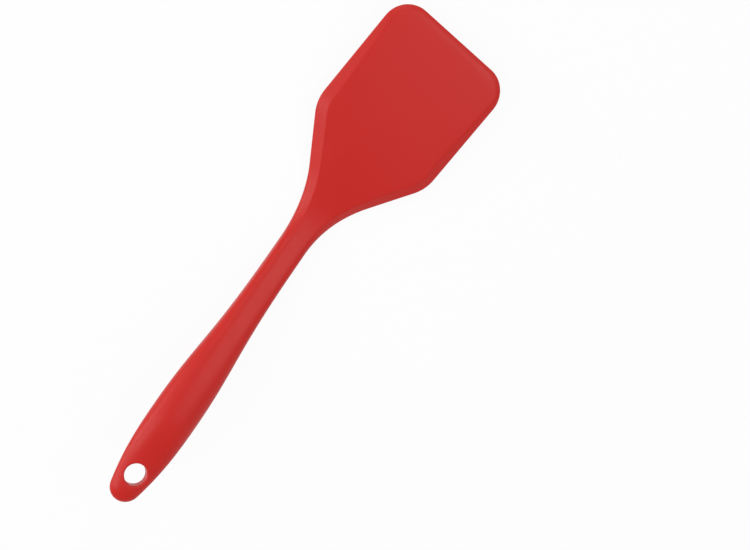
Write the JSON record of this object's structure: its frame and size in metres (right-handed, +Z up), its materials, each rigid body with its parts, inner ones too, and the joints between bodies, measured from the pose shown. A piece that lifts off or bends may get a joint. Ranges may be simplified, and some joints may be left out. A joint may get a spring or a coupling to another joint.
{
  "type": "silicone turner",
  "caption": "Silicone kitchen turner with a thin solid blade, bevelled at its border, a raised neck and a waisted grip with a hanging hole.",
  "frame": {"origin": "middle of the footprint's bounding box, on the table that the heel rests on", "axes": "+Y from the end of the handle towards the front edge of the blade, +Z up from the food side, +X to the right with the blade pointing away"},
  "size_m": [0.08, 0.3026, 0.0439],
  "materials": {
    "silicone": "satin",
    "nylon": "matte",
    "steel": "satin"
  },
  "bodies": {
    "root": {"upper_skin": "silicone", "lower_skin": "silicone", "handle_core": "nylon", "blade_plate": "steel"}
  },
  "joints": []
}
